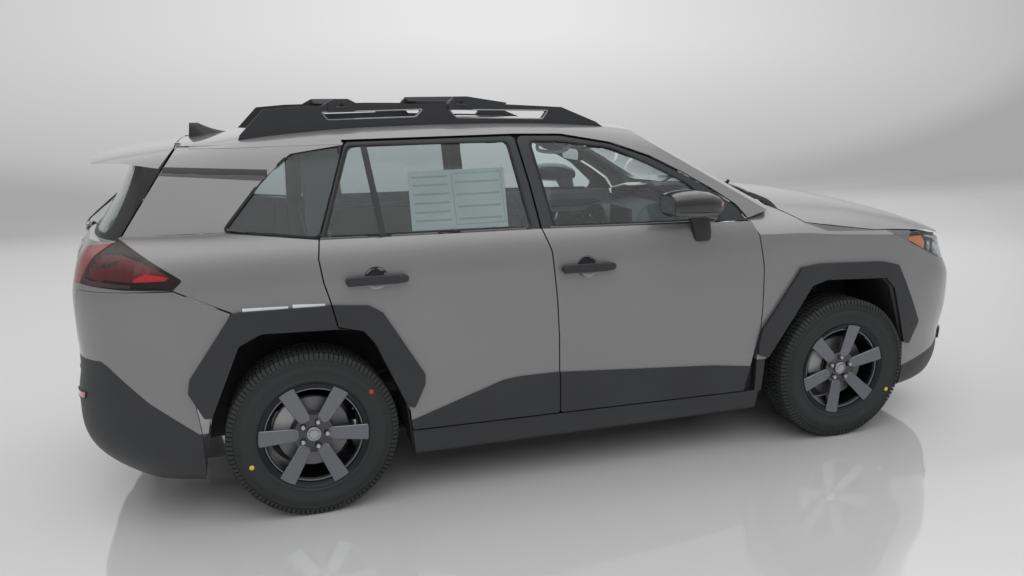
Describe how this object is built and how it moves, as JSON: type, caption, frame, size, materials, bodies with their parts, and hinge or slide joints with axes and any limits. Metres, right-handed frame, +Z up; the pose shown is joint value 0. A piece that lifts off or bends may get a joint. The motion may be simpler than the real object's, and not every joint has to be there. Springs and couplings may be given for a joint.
{
  "type": "compact crossover estate car",
  "caption": "Compact crossover estate car on all-terrain tyres with opening doors, bonnet and liftgate, steered front wheels and dark wheel-arch cladding.",
  "frame": {"origin": "centre of the footprint on the ground", "axes": "+X forward, +Y to the left, +Z up"},
  "size_m": [4.6344, 2.12, 1.79],
  "materials": {
    "grey_paint": "gloss metallic",
    "black_cladding": "matte",
    "gloss_black": "gloss",
    "glass_clear": "clear",
    "glass_dark": "dark tint",
    "lamp_clear": "clear gloss",
    "lamp_red": "gloss",
    "body_steel": "satin",
    "engine_metal": "cast",
    "seat_cloth": "woven",
    "cabin_plastic": "matte",
    "tyre": "matte",
    "wheel_metal": "satin"
  },
  "bodies": {
    "body": {"antenna": "black_cladding", "arch_flares": "black_cladding", "dashboard": "cabin_plastic", "engine_block": "engine_metal", "exhaust": "body_steel", "fenders": "grey_paint", "floor_pan": "body_steel", "front_bumper": "grey_paint", "front_lower_bumper": "black_cladding", "front_seats": "seat_cloth", "front_subframe": "body_steel", "fuel_tank": "body_steel", "grille": "black_cladding", "headlamps": "lamp_clear", "pillar_trim": "gloss_black", "quarter_glass": "glass_dark", "quarters": "grey_paint", "rear_axle": "body_steel", "rear_bench": "seat_cloth", "rear_bumper": "grey_paint", "rear_lower_bumper": "black_cladding", "rear_pillars": "grey_paint", "roof": "grey_paint", "roof_rails": "black_cladding", "side_frames": "body_steel", "sill_cladding": "black_cladding", "tail_lamps": "lamp_red", "wheel_arch_liners": "black_cladding", "windscreen": "glass_clear"},
    "front_door_right": {"front_door_right": "grey_paint", "front_door_trim_right": "black_cladding", "front_door_glass_right": "glass_clear", "door_mirror_right": "gloss_black"},
    "rear_door_right": {"rear_door_right": "grey_paint", "rear_door_trim_right": "black_cladding", "rear_door_glass_right": "glass_dark"},
    "knuckle_right": {"knuckle_right": "body_steel"},
    "wheel_front_right": {"tyre_front_right": "tyre", "rim_front_right": "wheel_metal"},
    "wheel_rear_right": {"tyre_rear_right": "tyre", "rim_rear_right": "wheel_metal"},
    "front_door_left": {"front_door_left": "grey_paint", "front_door_trim_left": "black_cladding", "front_door_glass_left": "glass_clear", "door_mirror_left": "gloss_black"},
    "rear_door_left": {"rear_door_left": "grey_paint", "rear_door_trim_left": "black_cladding", "rear_door_glass_left": "glass_dark"},
    "knuckle_left": {"knuckle_left": "body_steel"},
    "wheel_front_left": {"tyre_front_left": "tyre", "rim_front_left": "wheel_metal"},
    "wheel_rear_left": {"tyre_rear_left": "tyre", "rim_rear_left": "wheel_metal"},
    "steering_wheel": {"steering_wheel": "cabin_plastic"},
    "bonnet": {"bonnet": "grey_paint"},
    "liftgate": {"liftgate": "grey_paint", "liftgate_glass": "glass_dark", "liftgate_lamps": "lamp_red", "liftgate_trim": "gloss_black"}
  },
  "joints": [
    {"name": "steer_right", "type": "hinge", "parent": "body", "child": "knuckle_right", "pos_m": [1.365, -0.79, 0.3695], "axis": [0, 0, 1], "range_deg": [-32, 32]},
    {"name": "spin_front_right", "type": "hinge", "parent": "knuckle_right", "child": "wheel_front_right", "pos_m": [1.365, -0.7945, 0.3695], "axis": [0, 1, 0], "continuous": true},
    {"name": "spin_rear_right", "type": "hinge", "parent": "body", "child": "wheel_rear_right", "pos_m": [-1.325, -0.7945, 0.3695], "axis": [0, 1, 0], "continuous": true},
    {"name": "front_door_hinge_right", "type": "hinge", "parent": "body", "child": "front_door_right", "pos_m": [0.829, -0.898, 0.75], "axis": [0, 0, 1], "range_deg": [0, 66]},
    {"name": "rear_door_hinge_right", "type": "hinge", "parent": "body", "child": "rear_door_right", "pos_m": [-0.236, -0.898, 0.75], "axis": [0, 0, 1], "range_deg": [0, 68]},
    {"name": "steer_left", "type": "hinge", "parent": "body", "child": "knuckle_left", "pos_m": [1.365, 0.79, 0.3695], "axis": [0, 0, 1], "range_deg": [-32, 32]},
    {"name": "spin_front_left", "type": "hinge", "parent": "knuckle_left", "child": "wheel_front_left", "pos_m": [1.365, 0.7945, 0.3695], "axis": [0, 1, 0], "continuous": true},
    {"name": "spin_rear_left", "type": "hinge", "parent": "body", "child": "wheel_rear_left", "pos_m": [-1.325, 0.7945, 0.3695], "axis": [0, 1, 0], "continuous": true},
    {"name": "front_door_hinge_left", "type": "hinge", "parent": "body", "child": "front_door_left", "pos_m": [0.829, 0.898, 0.75], "axis": [0, 0, -1], "range_deg": [0, 66]},
    {"name": "rear_door_hinge_left", "type": "hinge", "parent": "body", "child": "rear_door_left", "pos_m": [-0.236, 0.898, 0.75], "axis": [0, 0, -1], "range_deg": [0, 68]},
    {"name": "steering_turn", "type": "hinge", "parent": "body", "child": "steering_wheel", "pos_m": [0.47, 0.37, 0.96], "axis": [-0.9135, 0, 0.4067], "range_deg": [-432, 432]},
    {"name": "bonnet_hinge", "type": "hinge", "parent": "body", "child": "bonnet", "pos_m": [0.96, 0, 1.17], "axis": [0, -1, 0], "range_deg": [0, 52]},
    {"name": "liftgate_hinge", "type": "hinge", "parent": "body", "child": "liftgate", "pos_m": [-1.806, 0, 1.634], "axis": [0, 1, 0], "range_deg": [0, 78]}
  ],
  "couplings": [
    {"joint": "steer_left", "follows": "steer_right", "ratio": 1},
    {"joint": "steering_turn", "follows": "steer_right", "ratio": 13.5}
  ]
}
